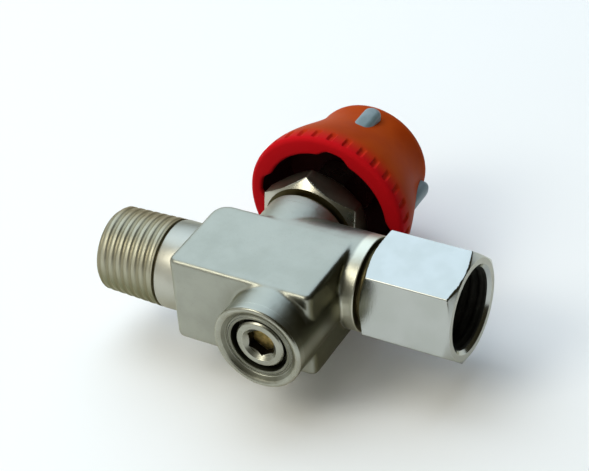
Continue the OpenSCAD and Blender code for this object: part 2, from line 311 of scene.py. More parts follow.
def roundedBlock(name, low, high, radii, edge, steps=5):
    # a block with its own radius on each upright corner and one radius on its top and bottom edges
    corners = [(low[0], low[1], 1, 1), (high[0], low[1], -1, 1), (high[0], high[1], -1, -1),
               (low[0], high[1], 1, -1)]
    rows = [(edge * (1 - math.sin(t)), low[2] + edge * (1 - math.cos(t)))
            for t in (math.pi / 2 * i / steps for i in range(steps + 1))]
    rows += [(inset, low[2] + high[2] - z) for inset, z in rows[::-1]]
    bm = bmesh.new()
    rings = []
    for inset, z in rows:
        ring = []
        for k, (x, y, wayX, wayY) in enumerate(corners):
            r = radii[k]
            for i in range(steps * 2 + 1):
                a = math.pi + math.pi / 2 * (k + i / (steps * 2))
                ring.append(bm.verts.new(((x + wayX * r + (r - inset) * math.cos(a)) * mm,
                                          (y + wayY * r + (r - inset) * math.sin(a)) * mm, z * mm)))
        rings.append(ring)
    for ring, after in zip(rings, rings[1:]):
        bridge(bm, ring, after)
    bm.faces.new(rings[0][::-1])
    bm.faces.new(rings[-1])
    return finishMesh(bm, name)


def spaced(points, step):
    # adds points along a closed outline so that none lie further apart than step
    out = []
    for (r0, s0), (r1, s1) in zip(points, points[1:] + points[:1]):
        count = max(1, math.ceil(math.hypot(r1 - r0, s1 - s0) / step))
        out += [(r0 + (r1 - r0) * i / count, s0 + (s1 - s0) * i / count) for i in range(count)]
    return out


def rounded(points, radii, steps=3):
    # takes the corners off a closed outline, each with its own radius
    out = []
    for i, p in enumerate(points):
        a, b, c = (Vector(q) for q in (points[i - 1], p, points[(i + 1) % len(points)]))
        cut = min(radii[i], (a - b).length * 0.45, (c - b).length * 0.45)
        if cut < 1e-4 or p[0] < 1e-6:
            out.append(tuple(p))
            continue
        start = b + (a - b).normalized() * cut
        end = b + (c - b).normalized() * cut
        for t in (k / steps for k in range(steps + 1)):
            out.append(tuple(start * (1 - t) ** 2 + b * 2 * t * (1 - t) + end * t ** 2))
    return out


def arc(r, s, radius, start, end, steps):
    turns = [math.radians(start + (end - start) * i / steps) for i in range(steps + 1)]
    return [(r + radius * math.cos(t), s + radius * math.sin(t)) for t in turns]


def smooth01(t):
    t = min(max(t, 0), 1)
    return t * t * (3 - 2 * t)


def evaluated(piece):
    # the piece with its modifiers applied, as a plain mesh
    graph = bpy.context.evaluated_depsgraph_get()
    mesh = bpy.data.meshes.new_from_object(piece.evaluated_get(graph), depsgraph=graph)
    old = piece.data
    piece.modifiers.clear()
    piece.data = mesh
    mesh.name = piece.name
    bpy.data.meshes.remove(old)
    return piece


def combine(piece, operation, *others):
    # joins closed pieces to this one or cuts them from it
    for other in others:
        modifier = piece.modifiers.new(operation, "BOOLEAN")
        modifier.operation = operation
        modifier.solver = "MANIFOLD"
        modifier.object = other
        evaluated(piece)
        bpy.data.objects.remove(other)


# Nodes

class NodeWriter:
    # a short way to write nodes into a tree
    def __init__(self, tree):
        self.tree = tree

    def feed(self, socket, value):
        # links another node's output to a socket, or sets its value
        if isinstance(value, bpy.types.NodeSocket):
            self.tree.links.new(value, socket)
        else:
            socket.default_value = (*value, 1.0) if socket.type == "RGBA" else value

    def node(self, kind, links=None, **settings):
        made = self.tree.nodes.new(kind)
        for key, value in settings.items():
            setattr(made, key, value)
        for key, value in (links or {}).items():
            self.feed(made.inputs[key], value)
        return made

    def math(self, operation, *values):
        return self.node("ShaderNodeMath", dict(enumerate(values)), operation=operation).outputs[0]

    def plus(self, a, b):
        return self.math("ADD", a, b)

    def minus(self, a, b):
        return self.math("SUBTRACT", a, b)

    def times(self, a, b):
        return self.math("MULTIPLY", a, b)

    def over(self, a, b):
        return self.math("DIVIDE", a, b)

    def length(self, a, b):
        return self.math("SQRT", self.plus(self.times(a, a), self.times(b, b)))

    def vector(self, operation, **links):
        # a, b and scale are the inputs
        inputs = {{"a": 0, "b": 1, "scale": "Scale"}[key]: value for key, value in links.items()}
        return self.node("ShaderNodeVectorMath", inputs, operation=operation).outputs

    def join(self, **parts):
        return self.node("ShaderNodeCombineXYZ", parts).outputs[0]

    def split(self, vector):
        return self.node("ShaderNodeSeparateXYZ", {0: vector}).outputs

    def coordinates(self, output="Object"):
        return self.node("ShaderNodeTexCoord").outputs[output]

    def places(self, output="Object"):
        return self.split(self.coordinates(output))

    def noise(self, place, scale, detail, roughness=0.5, **settings):
        inputs = {"Vector": place, "Scale": scale, "Detail": detail, "Roughness": roughness}
        return self.node("ShaderNodeTexNoise", inputs, **settings)

    def smooth(self, value, low, high, outLow=0.0, outHigh=1.0):
        inputs = {"Value": value, "From Min": low, "From Max": high, "To Min": outLow, "To Max": outHigh}
        return self.node("ShaderNodeMapRange", inputs, interpolation_type="SMOOTHSTEP").outputs["Result"]

    def mix(self, amount, a, b):
        return self.node("ShaderNodeMix", {0: amount, 6: a, 7: b}, data_type="RGBA").outputs[2]


class GroupBuilder(NodeWriter):
    # a shader group, or a geometry tree if it names no outputs; an input's kind follows from its value
    kinds = {float: "Float", int: "Int", tuple: "Vector"}

    def __init__(self, name, inputs, *outputs):
        super().__init__(bpy.data.node_groups.new(name, "ShaderNodeTree" if outputs else "GeometryNodeTree"))
        if not outputs:
            self.socket("Geometry", "INPUT", "Geometry")
        for key, value in inputs.items():
            self.socket(key, "INPUT", self.kinds[type(value)]).default_value = value
        if not outputs:
            self.socket("Material", "INPUT", "Material")
            self.socket("Geometry", "OUTPUT", "Geometry")
        for key in outputs:
            self.socket(key, "OUTPUT", "Float")
        self.given = self.node("NodeGroupInput").outputs

    def socket(self, name, way, kind):
        return self.tree.interface.new_socket(name=name, in_out=way, socket_type="NodeSocket" + kind)

    def put(self, **results):
        self.node("NodeGroupOutput", results)
        return self.tree

    def finish(self, last):
        # makes instances real and gives them their finish
        real = self.node("GeometryNodeRealizeInstances", {"Geometry": last.outputs[0]}).outputs[0]
        done = self.node("GeometryNodeSetMaterial", {"Geometry": real, "Material": self.given["Material"]})
        return self.put(Geometry=done.outputs[0])


def runTree(piece, tree, **inputs):
    # puts a tree on a piece, sets its inputs by their identifiers and keeps the plain result
    modifier = piece.modifiers.new(tree.name, "NODES")
    modifier.node_group = tree
    sockets = {s.name: s.identifier for s in tree.interface.items_tree if s.in_out == "INPUT"}
    for name, value in inputs.items():
        modifier[sockets[name]] = value
    return evaluated(piece)


# Geometry trees

def aboutAxis(b, side, centre):
    # where each place lies, how far it is sideways from an axis, and how far in all
    place = b.split(b.node("GeometryNodeInputPosition").outputs[0])
    across = b.minus(place[side], centre)
    return place, across, b.length(across, place["Z"])


def pressed(b, side, centre, place, across, radius, depth, chosen):
    # moves the chosen places towards the axis
    share = b.over(b.minus(radius, depth), b.math("MAXIMUM", radius, 1e-6))
    parts = {"X": place["X"], "Y": place["Y"], "Z": b.times(place["Z"], share)}
    parts[side] = b.plus(centre, b.times(across, share))
    return b.finish(b.node("GeometryNodeSetPosition", {
        "Geometry": b.given["Geometry"], "Selection": chosen, "Position": b.join(**parts)}))


def threadTree():
    # cuts a screw thread round an axis along X into the skin between two radii
    b = GroupBuilder("screwThread", {
        "AxisY": 0.0, "Pitch": 1.0, "Depth": 0.5, "Start": 0.0, "End": 1.0, "FadeIn": 0.1, "FadeOut": 0.1,
        "SkinFrom": 0.0, "SkinTo": 1.0, "CrestShare": 0.2, "RootShare": 0.2})
    given = b.given
    place, across, radius = aboutAxis(b, "Y", given["AxisY"])
    turn = b.over(b.math("ARCTAN2", place["Z"], across), 2 * math.pi)
    along = b.over(b.minus(place["X"], given["Start"]), given["Pitch"])
    phase = b.math("FRACT", b.minus(along, turn))
    ridge = b.math("ABSOLUTE", b.minus(b.times(phase, 2.0), 1.0))
    flank = b.smooth(ridge, given["RootShare"], b.minus(1.0, given["CrestShare"]), 1.0, 0.0)
    began = b.smooth(place["X"], given["Start"], b.plus(given["Start"], given["FadeIn"]))
    ended = b.smooth(place["X"], b.minus(given["End"], given["FadeOut"]), given["End"], 1.0, 0.0)
    depth = b.times(b.times(flank, given["Depth"]), b.times(began, ended))
    inSkin = b.times(b.math("GREATER_THAN", radius, given["SkinFrom"]),
                     b.math("LESS_THAN", radius, given["SkinTo"]))
    return pressed(b, "Y", given["AxisY"], place, across, radius, depth, inSkin)


def gripTree():
    # presses notches into the skirt of the handwheel, round an axis along Y
    b = GroupBuilder("gripNotches", {
        "AxisX": 0.0, "Count": 32.0, "Depth": 0.5, "Start": 0.0, "End": 1.0, "Share": 0.5, "SkinFrom": 0.0,
        "Turn": 0.0, "Flank": 0.7, "FullFrom": 0.16, "FullTo": 0.72})
    given = b.given
    place, across, radius = aboutAxis(b, "X", given["AxisX"])
    angle = b.minus(b.math("ARCTAN2", place["Z"], across), given["Turn"])
    wave = b.math("COSINE", b.times(angle, given["Count"]))
    edge = b.minus(1.0, b.times(given["Share"], 2.0))
    notch = b.smooth(wave, edge, b.plus(edge, given["Flank"]))
    part = b.over(b.minus(place["Y"], given["Start"]), b.minus(given["End"], given["Start"]))
    along = b.times(b.smooth(part, 0.0, given["FullFrom"]), b.smooth(part, given["FullTo"], 1.0, 1.0, 0.0))
    depth = b.times(b.times(notch, along), given["Depth"])
    inSkin = b.math("GREATER_THAN", radius, given["SkinFrom"])
    return pressed(b, "X", given["AxisX"], place, across, radius, depth, inSkin)


def forgeTree():
    # the faint waviness that a forging die and the blasting leave
    b = GroupBuilder("forgedSkin", {
        "WaveSize": 0.003, "WaveDepth": 0.00002, "GrainSize": 0.0004, "GrainDepth": 0.000004, "Seed": 4.0})
    place = b.node("GeometryNodeInputPosition").outputs[0]
    heights = []
    for size, depth in (("WaveSize", "WaveDepth"), ("GrainSize", "GrainDepth")):
        noise = b.noise(place, b.over(1.0, b.given[size]), 2.0, noise_dimensions="4D")
        b.feed(noise.inputs["W"], b.given["Seed"])
        heights.append(b.times(b.minus(noise.outputs[0], 0.5), b.given[depth]))
    normal = b.node("GeometryNodeInputNormal").outputs[0]
    push = b.vector("SCALE", a=normal, scale=b.plus(*heights))[0]
    return b.finish(b.node("GeometryNodeSetPosition", {"Geometry": b.given["Geometry"], "Offset": push}))


def ringTree():
    # sets copies of a piece round an axis along Y
    b = GroupBuilder("ribRing", {"AxisX": 0.0, "Turn": 0.0, "Count": 4})
    centre = b.join(X=b.given["AxisX"])
    points = b.node("GeometryNodePoints", {"Count": b.given["Count"], "Position": centre}).outputs[0]
    step = b.over(2 * math.pi, b.given["Count"])
    angle = b.plus(b.given["Turn"], b.times(b.node("GeometryNodeInputIndex").outputs[0], step))
    return b.finish(b.node("GeometryNodeInstanceOnPoints", {
        "Points": points, "Instance": b.given["Geometry"], "Rotation": b.join(Y=b.times(angle, -1.0))}))


trees = {"thread": threadTree(), "grip": gripTree(), "forge": forgeTree(), "ring": ringTree()}


# Shader groups

def edgeWearGroup():
    # 1 along outer edges, found from how far the rounded normal leans from the true one; the paler edges it gives are
    # partly wear and partly a painted highlight
    b = GroupBuilder("edgeWear", {"Radius": 0.0002, "Breakup": 0.4, "Size": 900.0}, "Wear")
    bevel = b.node("ShaderNodeBevel", {"Radius": b.given["Radius"]}, samples=6).outputs[0]
    normal = b.node("ShaderNodeNewGeometry").outputs["Normal"]
    edge = b.smooth(b.vector("DOT_PRODUCT", a=bevel, b=normal)["Value"], 0.995, 0.86)
    spots = b.smooth(b.noise(b.coordinates(), b.given["Size"], 3.0).outputs[0], 0.35, 0.65)
    return b.put(Wear=b.times(edge, b.minus(1.0, b.times(b.given["Breakup"], spots))))


def platingGroup():
    # cloudy tone, fine grain and small pits of a nickel-plated surface
    b = GroupBuilder("plating", {"CloudSize": 180.0, "GrainSize": 4200.0, "PitSize": 1500.0},
                     "Cloud", "Grain", "Pits")
    place = b.coordinates()
    cloud = b.noise(place, b.given["CloudSize"], 4.0, 0.55).outputs[0]
    grain = b.noise(place, b.given["GrainSize"], 3.0, 0.6).outputs[0]
    cells = b.node("ShaderNodeTexVoronoi", {"Vector": place, "Scale": b.given["PitSize"]}).outputs["Distance"]
    return b.put(Cloud=b.smooth(cloud, 0.3, 0.7), Grain=grain, Pits=b.smooth(cells, 0.16, 0.04))


def toolMarksGroup():
    # fine rings that a lathe leaves round an axis; Along picks the axis
    b = GroupBuilder("toolMarks", {"Along": (1.0, 0.0, 0.0), "Centre": (0.0, 0.0, 0.0), "Fineness": 9000.0},
                     "Marks")
    local = b.vector("SUBTRACT", a=b.coordinates(), b=b.given["Centre"])[0]
    along = b.vector("DOT_PRODUCT", a=local, b=b.given["Along"])["Value"]
    radius = b.vector("LENGTH", a=b.vector("CROSS_PRODUCT", a=local, b=b.given["Along"])[0])["Value"]
    lines = b.noise(b.join(X=along, Y=radius), b.given["Fineness"], 2.0, noise_dimensions="2D")
    return b.put(Marks=lines.outputs[0])


def cavityGroup():
    # 1 in deep corners of a piece, where it is darkened as painted shade
    b = GroupBuilder("cavity", {"Reach": 0.005}, "Hollow")
    open = b.node("ShaderNodeAmbientOcclusion", {"Distance": b.given["Reach"]}, samples=8, only_local=True)
    return b.put(Hollow=b.smooth(open.outputs["AO"], 0.80, 0.35))


shaderGroups = {"edgeWear": edgeWearGroup(), "plating": platingGroup(), "toolMarks": toolMarksGroup(),
                "cavity": cavityGroup()}
print("node groups ready")


# Finishes

class MaterialBuilder(NodeWriter):
    def __init__(self, name):
        self.material = bpy.data.materials.new(name)
        self.material.use_nodes = True
        super().__init__(self.material.node_tree)
        self.shader = self.tree.nodes["Principled BSDF"]

    def group(self, name, **values):
        return self.node("ShaderNodeGroup", values, node_tree=shaderGroups[name]).outputs

    def set(self, **values):
        for key, value in values.items():
            self.feed(self.shader.inputs[key.replace("_", " ")], value)

    def bump(self, height, distance):
        made = self.node("ShaderNodeBump", {"Strength": 1.0, "Distance": distance, "Height": height})
        self.set(Normal=made.outputs[0])

    def worn(self, look, plating, **wearInputs):
        # cloudy tone with paler edges, which are partly edge wear and partly a painted highlight; pits only where the
        # look has them
        wear = self.group("edgeWear", **wearInputs)["Wear"]
        tone = self.mix(plating["Cloud"], look["dark"], look["light"])
        if "pits" in look:
            tone = self.mix(self.times(plating["Pits"], look["pits"]), tone, look["pitColour"])
        return self.mix(self.times(wear, look["wear"]), tone, look["edgeColour"])


def platedMaterial(name, look):
    # nickel plating; tone, polish and tool marks come from the look
    m = MaterialBuilder(name)
    plating = m.group("plating", CloudSize=look["cloudSize"])
    tone = m.worn(look, plating, Radius=look["edge"] * mm)
    if "cavity" in look:
        # painted shade: deep corners are darkened towards a dark olive
        hollow = m.group("cavity", Reach=look["reach"] * mm)["Hollow"]
        tone = m.mix(m.times(hollow, look["cavity"]), tone, look["cavityColour"])
    if "duller" in look:
        # painted shade: the faces turned towards +X at the end behind the neck and on the side of the boss are
        # darkened towards a dark olive
        place, facing = m.places(), m.places("Normal")
        end, boss, band = ([v * mm for v in look[key]] for key in ("dullEnd", "dullBoss", "band"))
        where = m.math("MAXIMUM", m.smooth(place["X"], *end), m.smooth(m.times(place["Y"], -1.0), *boss))
        dull = m.times(m.smooth(facing["X"], *look["dullFacing"]), where)
        tone = m.mix(m.times(dull, look["duller"]), tone, look["dullColour"])
        # a paler band round the turned neck: its own finish, brightened further as a painted highlight
        tone = m.mix(m.smooth(place["X"], *band), tone, look["bandColour"])
    if "back" in look:
        # painted shade: what faces down or away from the bleed side is darkened towards the look's under and back
        # colours
        facing = m.places("Normal")
        for side, way in (("under", "Z"), ("back", "Y")):
            share = m.smooth(facing[way], *look[side + "Facing"], 0.0, look[side + "Share"])
            tone = m.mix(share, tone, look[side])
    if "rootColour" in look:
        # painted shade in the roots of the pipe thread
        place = m.places()
        crest = m.plus(look["crest"] * mm, m.times(place["X"], look["taper"]))
        below = m.minus(crest, m.length(place["Y"], place["Z"]))
        deep = m.smooth(below, look["rootFrom"] * mm, look["rootDepth"] * mm, 0.0, look["rootShare"])
        tone = m.mix(deep, tone, look["rootColour"])
    rough = m.plus(look["rough"], m.times(plating["Cloud"], look["roughSpread"]))
    height = m.times(plating["Grain"], look["grain"])
    if "axis" in look:
        along, centre = axes[look["axis"]]
        marks = m.group("toolMarks", Along=along, Centre=centre, Fineness=look["fineness"])["Marks"]
        height = m.plus(height, m.times(marks, look["marks"]))
        rough = m.plus(rough, m.times(m.minus(marks, 0.5), look["marks"] * look["markRough"]))
    m.bump(height, look["bump"] * mm)
    m.set(Base_Color=tone, Metallic=look["metal"], Roughness=rough, Specular_Tint=look["tint"],
          Specular_IOR_Level=look["gloss"])
    return m.material


platedLook = {"metal": 1.0, "gloss": 0.5, "tint": (0.95, 0.92, 0.8), "bump": 0.01}
forgedLook = {
    **platedLook,
    "dark": (0.30, 0.305, 0.258), "light": (0.378, 0.384, 0.33), "cloudSize": 150.0,
    "pits": 0.30, "pitColour": (0.20, 0.19, 0.14),
    # the pale edges here are partly wear and partly a painted highlight
    "edge": 0.45, "wear": 0.8, "edgeColour": (0.74, 0.74, 0.63), "rough": 0.34, "roughSpread": 0.10,
    # deep corners are darkened here as painted shade
    "grain": 1.6, "reach": 7, "cavity": 0.75, "cavityColour": (0.13, 0.115, 0.06),
    # the end face behind the neck and the side of the boss get painted shade
    "duller": 0.8, "dullColour": (0.075, 0.066, 0.022), "dullEnd": (36.2, 36.9), "dullBoss": (7.6, 8.6),
    "dullFacing": (0.35, 0.85), "band": (37.3, 37.9), "bandColour": (0.62, 0.61, 0.50),
}
turnedLook = {
    **platedLook,
    "dark": (0.34, 0.345, 0.31), "light": (0.41, 0.415, 0.38), "cloudSize": 240.0,
    "pits": 0.15, "pitColour": (0.22, 0.21, 0.16),
    "edge": 0.15, "wear": 0.6, "edgeColour": (0.72, 0.72, 0.64), "rough": 0.22, "roughSpread": 0.08,
    "grain": 0.3, "fineness": 7000.0, "marks": 1.0, "markRough": 0.2,
    "underFacing": (0.45, -0.35), "backFacing": (-0.5, 0.35),
}
# which way each axis runs and a point on it
axes = {
    "inlet": ((1.0, 0.0, 0.0), (0.0, 0.0, 0.0)), "outlet": ((1.0, 0.0, 0.0), (0.0, outletY, 0.0)),
    "bleed": ((0.0, 1.0, 0.0), (bleedX, 0.0, 0.0)), "stem": ((0.0, 1.0, 0.0), (stemX, 0.0, 0.0)),
}


def turnedPlating(name, axis, **changes):
    return platedMaterial(name, {**turnedLook, "axis": axis, **changes})


plasticLook = {"cloudSize": 110.0, "grainSize": 3500.0, "roughSpread": 0.10, "grainDepth": 0.003,
               "gloss": 0.4, "edge": 0.25, "breakup": 0.6}


def plasticMaterial(name, **changes):
    look = {**plasticLook, **changes}
    m = MaterialBuilder(name)
    plating = m.group("plating", CloudSize=look["cloudSize"], GrainSize=look["grainSize"])
    tone = m.worn(look, plating, Radius=look["edge"] * mm, Breakup=look["breakup"])
    if "lip" in look:
        # the moulding is a cooler red at its open end
        lip = m.smooth(m.places()["Y"], look["lipEnd"] * mm, look["lipStart"] * mm)
        tone = m.mix(lip, tone, look["lip"])
    m.bump(plating["Grain"], look["grainDepth"] * mm)
    m.set(Base_Color=tone, Roughness=m.plus(look["rough"], m.times(plating["Cloud"], look["roughSpread"])),
          Specular_IOR_Level=look["gloss"])
    return m.material


materials = {
    "forged": platedMaterial("forgedPlating", forgedLook),
    "thread": turnedPlating("threadPlating", "inlet", edge=0.1, wear=0.2, rough=0.42,
                            # the roots get painted shade
                            dark=(0.42, 0.40, 0.30), light=(0.50, 0.48, 0.37), rootColour=(0.20, 0.17, 0.09),
                            crest=6.4, taper=1 / 32, rootFrom=0.03, rootDepth=0.17, rootShare=0.5,
                            # under and back are painted shade; the brown back is also a painted reflection of the red
                            # handwheel
                            under=(0.12, 0.12, 0.05), underShare=0.85,
                            back=(0.23, 0.16, 0.075), backShare=0.8),
    "collar": turnedPlating("collarPlating", "inlet", rough=0.36, marks=0.4,
                            # under and back are painted shade
                            dark=(0.45, 0.44, 0.375), light=(0.53, 0.52, 0.455), under=(0.30, 0.30, 0.24),
                            underShare=0.5, back=(0.23, 0.23, 0.20), backShare=0.8),
    # painted shade: grooves and gaps take this dark olive finish
    "groove": turnedPlating("groovePlating", "outlet", rough=0.4, wear=0.2, dark=(0.13, 0.105, 0.045),
                            light=(0.20, 0.17, 0.09)),
    "bossRim": turnedPlating("bossPlating", "bleed", fineness=4200.0, marks=1.6, rough=0.26,
                             dark=(0.30, 0.295, 0.235), light=(0.39, 0.39, 0.33)),
    # painted shade: the recessed faces round the bleed screw are a darker grey
    "recess": turnedPlating("recessPlating", "bleed", fineness=4200.0, marks=1.2, rough=0.32,
                            dark=(0.15, 0.148, 0.11), light=(0.22, 0.22, 0.175)),
    # painted shade: the cup inside the insert is near black
    "cup": turnedPlating("cupPlating", "bleed", rough=0.45, wear=0.3, dark=(0.05, 0.048, 0.03),
                         light=(0.09, 0.088, 0.06)),
    "nut": turnedPlating("nutPlating", "outlet", rough=0.13, roughSpread=0.05, marks=0.3, pits=0.05,
                         edge=0.12, dark=(0.41, 0.425, 0.395), light=(0.45, 0.465, 0.44)),
    # painted shade: the nut's bore and the nipple inside it are near black
    "nutInside": turnedPlating("nutThread", "outlet", rough=0.75, wear=0.0, metal=0.0, gloss=0.03,
                               dark=(0.012, 0.012, 0.010), light=(0.03, 0.03, 0.025)),
    "nutEnd": turnedPlating("nutEndPlating", "outlet", rough=0.40, metal=0.6, dark=(0.44, 0.44, 0.38),
                            light=(0.52, 0.52, 0.46)),
    "bonnet": turnedPlating("bonnetPlating", "stem", rough=0.24, marks=0.4, dark=(0.42, 0.40, 0.33),
                            light=(0.50, 0.48, 0.41)),
    # painted shade: the bonnet's hex flats are near black
    "bonnetFlats": turnedPlating("bonnetFlats", "stem", rough=0.38, marks=0.4, wear=0.15,
                                 dark=(0.045, 0.042, 0.028), light=(0.08, 0.075, 0.05)),
    # painted shade: the walls of the screw's hex socket are near black
    "socketWall": turnedPlating("socketWall", "bleed", rough=0.5, wear=0.1, dark=(0.012, 0.011, 0.008),
                                light=(0.03, 0.027, 0.018)),
    "socketFloor": turnedPlating("socketFloor", "bleed", rough=0.42, cloudSize=1300.0,
                                 dark=(0.20, 0.15, 0.05), light=(0.50, 0.35, 0.12)),
    "steel": turnedPlating("turnedSteel", "stem", dark=(0.5, 0.5, 0.5), light=(0.62, 0.62, 0.61)),
    "brass": turnedPlating("bareBrass", "stem", dark=(0.62, 0.42, 0.12), light=(0.76, 0.55, 0.2),
                           edgeColour=(0.9, 0.75, 0.4)),
    "copper": turnedPlating("softCopper", "stem", dark=(0.6, 0.28, 0.16), light=(0.72, 0.36, 0.22),
                            edgeColour=(0.9, 0.6, 0.45)),
    "red": plasticMaterial("redPlastic", dark=(0.34, 0.040, 0.004), light=(0.42, 0.058, 0.006), wear=0.15,
                           edgeColour=(0.50, 0.09, 0.02), rough=0.40, gloss=0.012,
                           lip=(0.50, 0.006, 0.010), lipStart=20.4, lipEnd=24.5),
    # painted shade: the inside of the handwheel is near black
    "hollow": plasticMaterial("handwheelInside", dark=(0.020, 0.002, 0.002), light=(0.035, 0.004, 0.004),
                              wear=0.1, edgeColour=(0.1, 0.01, 0.01), rough=0.6, gloss=0.08),
    "grey": plasticMaterial("greyPlastic", dark=(0.13, 0.19, 0.20), light=(0.21, 0.28, 0.31), cloudSize=200.0,
                            wear=0.3, edgeColour=(0.3, 0.38, 0.40), rough=0.36, grainDepth=0.006),
    "rubber": plasticMaterial("blackRubber", dark=(0.012, 0.012, 0.012), light=(0.03, 0.03, 0.03),
                              cloudSize=300.0, grainSize=5000.0, wear=0.2, edgeColour=(0.08, 0.08, 0.08),
                              rough=0.6, grainDepth=0.01),
    "white": plasticMaterial("whitePacking", dark=(0.72, 0.72, 0.68), light=(0.84, 0.84, 0.80),
                             cloudSize=300.0, grainSize=4000.0, wear=0.2, edgeColour=(0.9, 0.9, 0.88),
                             rough=0.5, grainDepth=0.01),
}
print("materials ready:", len(materials))


def setMaterial(piece, *names):
    piece.data.materials.clear()
    for name in names:
        piece.data.materials.append(materials[name])


def finishByPlace(piece, names, pick):
    # gives each face the finish that pick() names for its middle, in millimetres, and its direction
    setMaterial(piece, *names)
    for face in piece.data.polygons:
        face.material_index = names.index(pick(face.center / mm, face.normal))


def dress(piece, body, slot, *replaced):
    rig.ride(piece, body)
    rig.slot(piece, slot)
    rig.replaces(piece, *replaced)
    return piece


def away(place, x=None, y=None):
    # distance in millimetres from an axis along +Y through x, or from one along +X through y
    if x is None:
        return np.hypot(place[1] - y / mm, place[2])
    return np.hypot(place[0] - x / mm, place[2])


# The forged body

body = {
    "low": (13.75, -7.35, -7.3), "high": (36.95, 7.8, 7.1), "edge": 0.8,
    "cornerRadii": (1.2, 1.0, 0.7, 2.6),    # front left, front right, back right, back left
    "armY": 7.2, "armZ": -0.15, "armRadius": 7.2, "armTo": 38.2, "rearRadius": 7.05, "rearTo": 12.9,
    "bossRadius": 6.85, "bossTo": -11.7, "voxel": 0.225, "smoothing": 7, "relaxing": 0.5,
    "waveSize": 3.2, "waveDepth": 0.10, "grainSize": 0.5, "grainDepth": 0.012,
    "bores": {
        # name: axis, radius, from, to
        "inletBore": (inletAxis, 2.7, 12, 26.5), "seatBore": (stemAxis, 2, 0, 5),
        "chamber": (stemAxis, 4.2, 4.8, 10), "bonnetBore": (stemAxis, 5.6, 9.9, 16),
        "outletBore": (outletAxis, 2, stemX / mm, 36), "nippleBore": (outletAxis, 4.7, 35.6, 42),
        "insertBore": (bleedAxis, 5.5, -14, -4.2), "bleedBore": (bleedAxis, 1, -5, 6),
    },
}
armAxis = axisX(body["armY"] * mm, body["armZ"] * mm)


def forging():
    n = SimpleNamespace(**body)
    blob = roundedBlock("valve_body_skin", n.low, n.high, n.cornerRadii, n.edge)
    combine(blob, "UNION", rod("arm", armAxis, n.armRadius, stemX / mm, n.armTo),
            rod("rearBoss", stemAxis, n.rearRadius, 0, n.rearTo),
            rod("frontBoss", bleedAxis, n.bossRadius, n.bossTo, 0))
    combine(blob, "DIFFERENCE", *(rod(name, *values) for name, values in n.bores.items()))
    remesh = blob.modifiers.new("remesh", "REMESH")
    remesh.mode = "VOXEL"
    remesh.voxel_size = n.voxel * mm
    relax = blob.modifiers.new("relax", "SMOOTH")
    relax.factor = n.relaxing
    relax.iterations = n.smoothing
    evaluated(blob)
    return runTree(blob, trees["forge"], WaveSize=n.waveSize * mm, WaveDepth=n.waveDepth * mm,
                   GrainSize=n.grainSize * mm, GrainDepth=n.grainDepth * mm, Material=materials["forged"])


# Turned parts of the body

inlet = {
    "length": 9.9, "crest": 6.4, "taper": 1 / 32, "pitch": 1.337, "depth": 0.17, "bore": 2.5, "tip": 0.5,
    "reliefRadius": 6.2, "reliefWidth": 0.45, "collarRadius": 6.72, "collarEnd": 14.4, "step": 0.085,
    "skinFrom": 4.6, "threadFrom": -0.6, "fadeIn": 0.2, "fadeOut": 0.5, "crestShare": 0.22, "rootShare": 0.14,
}


def cutThread(piece, n, axisY, depth, length, skin, finish):
    # a thread round an axis along +X; length and skin say from where to where it is cut, in millimetres
    return runTree(piece, trees["thread"], AxisY=axisY, Pitch=n.pitch * mm, Depth=depth * mm,
                   Start=length[0] * mm, End=length[1] * mm, FadeIn=n.fadeIn * mm, FadeOut=n.fadeOut * mm,
                   SkinFrom=skin[0] * mm, SkinTo=skin[1] * mm, CrestShare=n.crestShare,
                   RootShare=n.rootShare, Material=materials[finish])


def inletEnd():
    n = SimpleNamespace(**inlet)
    endRadius = n.crest + n.taper * n.length
    outline = spaced([(n.bore + 0.4, 0.0), (n.crest - n.tip, 0.0), (n.crest + n.taper * n.tip, n.tip),
                      (endRadius, n.length)], n.step)
    cut = next(i for i, p in enumerate(outline) if p[1] >= n.length - 1e-6)
    back = n.length + n.reliefWidth
    outline = outline[:cut + 1] + [
        (n.reliefRadius, n.length + 0.12), (n.reliefRadius, back - 0.06), (n.collarRadius - 0.18, back),
        (n.collarRadius - 0.05, back + 0.06), (n.collarRadius, back + 0.2), (n.collarRadius, n.collarEnd),
        (n.bore, n.collarEnd), (n.bore, 0.4)]
    return cutThread(turned("inletEnd", inletAxis, outline), n, 0.0, n.depth, (n.threadFrom, n.length + 0.1),
                     (n.depth + n.skinFrom, endRadius + 0.02), "thread")


bossRim = {
    "radius": 6.9, "bore": 5.32, "start": -10.9, "end": -12.4, "bevel": 0.45, "crest": 6.45, "dish": 0.65,
    "finishFrom": -11.75, "brightFrom": 5.95,
}


def bossEnd():
    # a bright bevel outside, then a face that dishes towards the insert
    n = SimpleNamespace(**bossRim)
    low = n.end + n.dish
    outline = [(n.bore, n.start), (n.radius, n.start)]
    outline += arc(n.radius - n.bevel, n.end + n.bevel, n.bevel, 360, 270, 7)
    outline += [(n.crest - 0.15, n.end + 0.04), (n.crest - 0.55, n.end + 0.30), (n.bore + 0.26, low - 0.07),
                (n.bore + 0.1, low), (n.bore, low + 0.1)]
    return turned("bossEnd", bleedAxis, outline)


neck = {"radius": 7.2, "start": 36.4, "end": 39.5, "spigotRadius": 6.2, "spigotEnd": 40.4, "overlap": 0.8,
        "bore": 4.5}


